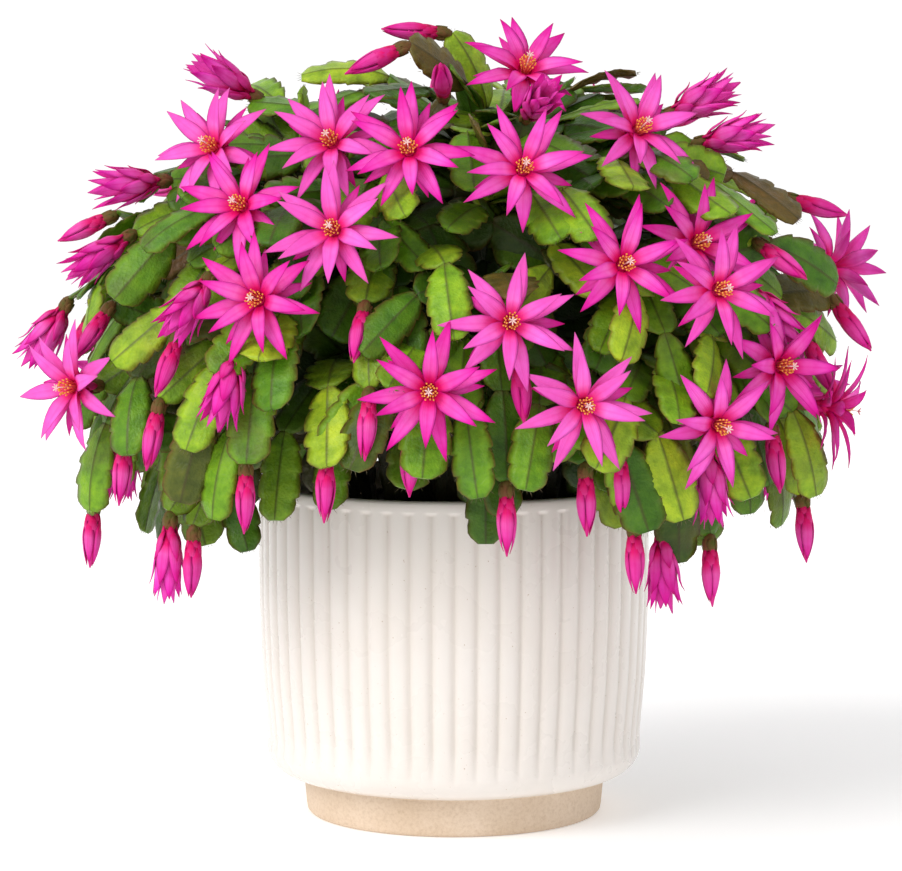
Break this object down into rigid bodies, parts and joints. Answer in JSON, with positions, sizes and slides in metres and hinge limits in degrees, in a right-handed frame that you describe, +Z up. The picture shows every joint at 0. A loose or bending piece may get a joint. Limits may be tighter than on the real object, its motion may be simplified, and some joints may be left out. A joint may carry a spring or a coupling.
{
  "type": "potted easter cactus",
  "caption": "Flowering easter cactus with arching flat-jointed stems and star-shaped blooms, in a round ribbed glazed stoneware pot.",
  "frame": {"origin": "centre of the flat underside of the pot's foot, on the surface that the pot stands on", "axes": "+Z up along the pot's axis; -Y towards the front, the side that shows best; +X to the right as seen from the front"},
  "size_m": [0.379, 0.3302, 0.3478],
  "materials": {
    "pot_glaze": "gloss",
    "potting_soil": "matte",
    "stem_pad": "satin",
    "petal": "satin"
  },
  "bodies": {
    "root": {"pot": "pot_glaze", "soil": "potting_soil", "cane_01": "stem_pad", "cane_02": "stem_pad", "cane_03": "stem_pad", "cane_04": "stem_pad", "cane_05": "stem_pad", "cane_06": "stem_pad", "cane_07": "stem_pad", "cane_08": "stem_pad", "cane_09": "stem_pad", "cane_10": "stem_pad", "cane_11": "stem_pad", "cane_12": "stem_pad", "cane_13": "stem_pad", "cane_14": "stem_pad", "cane_15": "stem_pad", "cane_16": "stem_pad", "cane_17": "stem_pad", "cane_18": "stem_pad", "cane_19": "stem_pad", "cane_20": "stem_pad", "cane_21": "stem_pad", "cane_22": "stem_pad", "cane_23": "stem_pad", "cane_24": "stem_pad", "cane_25": "stem_pad", "cane_26": "stem_pad", "cane_27": "stem_pad", "cane_28": "stem_pad", "cane_29": "stem_pad", "bloom_01": "petal", "bloom_02": "petal", "bloom_03": "petal", "bloom_04": "petal", "bloom_05": "petal", "bloom_06": "petal", "bloom_07": "petal", "bloom_08": "petal", "bloom_09": "petal", "bloom_10": "petal", "bloom_11": "petal", "bloom_12": "petal", "bloom_13": "petal", "bloom_14": "petal", "bloom_15": "petal", "bloom_16": "petal", "bloom_17": "petal", "bloom_18": "petal", "bloom_19": "petal", "bloom_20": "petal", "bloom_21": "petal", "bloom_22": "petal", "bloom_23": "petal", "bloom_24": "petal", "bloom_25": "petal", "bloom_26": "petal", "bloom_27": "petal", "bloom_28": "petal", "bloom_29": "petal"}
  },
  "joints": []
}
